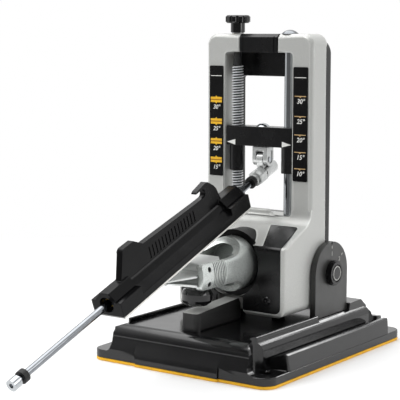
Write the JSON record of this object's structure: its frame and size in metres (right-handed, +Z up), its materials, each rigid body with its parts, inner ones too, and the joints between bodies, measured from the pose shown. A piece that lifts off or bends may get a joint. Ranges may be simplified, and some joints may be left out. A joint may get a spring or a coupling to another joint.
{
  "type": "guided-rod knife sharpener",
  "caption": "Bench knife sharpener: tilting tower with a lead screw and angle scales, a rod on a universal joint with a sliding abrasive handle, and a rotating blade clamp.",
  "frame": {"origin": "centre of the base's underside", "axes": "+X to the user's right, -Y to the user, +Z up; the rod reaches out to -Y"},
  "size_m": [0.157, 0.3617, 0.2533],
  "materials": {
    "base_black": "satin black moulding",
    "pad_yellow": "matt yellow rubber",
    "hinge_black": "satin black paint",
    "cast_silver": "fine cast, silver paint",
    "cover_black": "satin black",
    "label_black": "printed gloss label",
    "knob_black": "satin black knob",
    "handle_black": "satin black grip",
    "bright_steel": "polished",
    "zinc_steel": "zinc plated",
    "plate_steel": "diamond coated steel",
    "bush_brass": "plain bearing",
    "black_rubber": "matt rubber"
  },
  "bodies": {
    "base": {"base": "base_black", "base_pad": "pad_yellow", "hinge_cheek_left": "hinge_black", "hinge_cheek_right": "hinge_black", "pivot_stud_left": "zinc_steel", "pivot_stud_right": "zinc_steel", "base_screws": "zinc_steel", "clamp_rest": "base_black", "tilt_stops": "black_rubber"},
    "tilt_knob": {"tilt_knob": "knob_black"},
    "tower": {"tower_frame": "cast_silver", "rear_cover": "cover_black", "cover_screws": "zinc_steel", "front_panel_left": "cover_black", "front_panel_right": "cover_black", "panel_screws": "hinge_black", "top_bridge": "cover_black", "label_left": "label_black", "label_right": "label_black", "hub_ring": "cover_black", "spindle_bush": "bush_brass", "tilt_bushes": "bush_brass", "guide_rod": "bright_steel", "guide_rod_screw": "bright_steel", "screw_bush_upper": "bush_brass", "screw_bush_lower": "bush_brass"},
    "lead_screw": {"lead_screw": "bright_steel", "thrust_washer": "zinc_steel", "top_knob": "knob_black"},
    "carriage": {"carriage": "cover_black", "lead_nut": "bush_brass", "guide_bush": "bush_brass", "swivel_screw": "bright_steel"},
    "yoke": {"yoke": "zinc_steel", "cross_pin": "bright_steel"},
    "rod": {"knuckle": "zinc_steel", "guide_arm": "bright_steel", "upper_bumper": "black_rubber", "lower_bumper": "black_rubber", "arm_end_cap": "bright_steel"},
    "handle_bushes": {"handle_bushes": "bush_brass"},
    "handle": {"handle": "handle_black", "abrasive_plate": "plate_steel", "plate_magnets": "zinc_steel"},
    "clamp": {"clamp_head": "cast_silver", "clamp_spindle": "zinc_steel", "spindle_washer": "zinc_steel", "spindle_nut": "zinc_steel", "jaw_pins": "zinc_steel"},
    "upper_jaw": {"upper_jaw": "zinc_steel"},
    "lower_jaw": {"lower_jaw": "zinc_steel"},
    "clamp_knob": {"clamp_knob": "knob_black", "clamp_screw": "zinc_steel"}
  },
  "joints": [
    {"name": "tower_tilt", "type": "hinge", "parent": "base", "child": "tower", "pos_m": [0, 0.029, 0.06], "axis": [-1, 0, 0], "range_deg": [0, 50]},
    {"name": "tilt_knob_turn", "type": "hinge", "parent": "base", "child": "tilt_knob", "pos_m": [0, 0.029, 0.06], "axis": [1, 0, 0], "range_deg": [0, 360]},
    {"name": "lead_screw_turn", "type": "hinge", "parent": "tower", "child": "lead_screw", "pos_m": [-0.0235, 0.0145, 0], "axis": [0, 0, -1], "range_deg": [-275, 7205]},
    {"name": "carriage_lift", "type": "slide", "parent": "tower", "child": "carriage", "axis": [0, 0, 1], "range_m": [-0.0015, 0.04]},
    {"name": "yoke_swivel", "type": "hinge", "parent": "carriage", "child": "yoke", "pos_m": [0, 0.0145, 0], "axis": [0, 0, 1], "range_deg": [-40, 40]},
    {"name": "rod_lift", "type": "hinge", "parent": "yoke", "child": "rod", "pos_m": [0, 0.0145, 0.1445], "axis": [-1, 0, 0], "range_deg": [0, 60]},
    {"name": "handle_slide", "type": "slide", "parent": "rod", "child": "handle_bushes", "axis": [0, 0.9342, 0.3567], "range_m": [-0.0835, 0.021]},
    {"name": "handle_roll", "type": "hinge", "parent": "handle_bushes", "child": "handle", "pos_m": [0, 0.01796, 0.13544], "axis": [0, 0.9342, 0.3567], "range_deg": [-10, 10]},
    {"name": "clamp_flip", "type": "hinge", "parent": "tower", "child": "clamp", "pos_m": [0, 0, 0.07], "axis": [0, 1, 0], "range_deg": [-10, 10]},
    {"name": "clamp_knob_turn", "type": "hinge", "parent": "clamp", "child": "clamp_knob", "pos_m": [0, -0.071, 0.07], "axis": [0, 0, -1], "range_deg": [0, 345]},
    {"name": "upper_jaw_open", "type": "hinge", "parent": "clamp", "child": "upper_jaw", "pos_m": [0, -0.0835, 0.0752], "axis": [-1, 0, 0], "range_deg": [0, 2.22]},
    {"name": "lower_jaw_open", "type": "hinge", "parent": "clamp", "child": "lower_jaw", "pos_m": [0, -0.0835, 0.0648], "axis": [1, 0, 0], "range_deg": [0, 2.22]}
  ],
  "couplings": [
    {"joint": "lead_screw_turn", "follows": "carriage_lift", "rad_per_m": 3141.6},
    {"joint": "upper_jaw_open", "follows": "clamp_knob_turn", "ratio": 0.006377},
    {"joint": "lower_jaw_open", "follows": "clamp_knob_turn", "ratio": 0.006377}
  ]
}
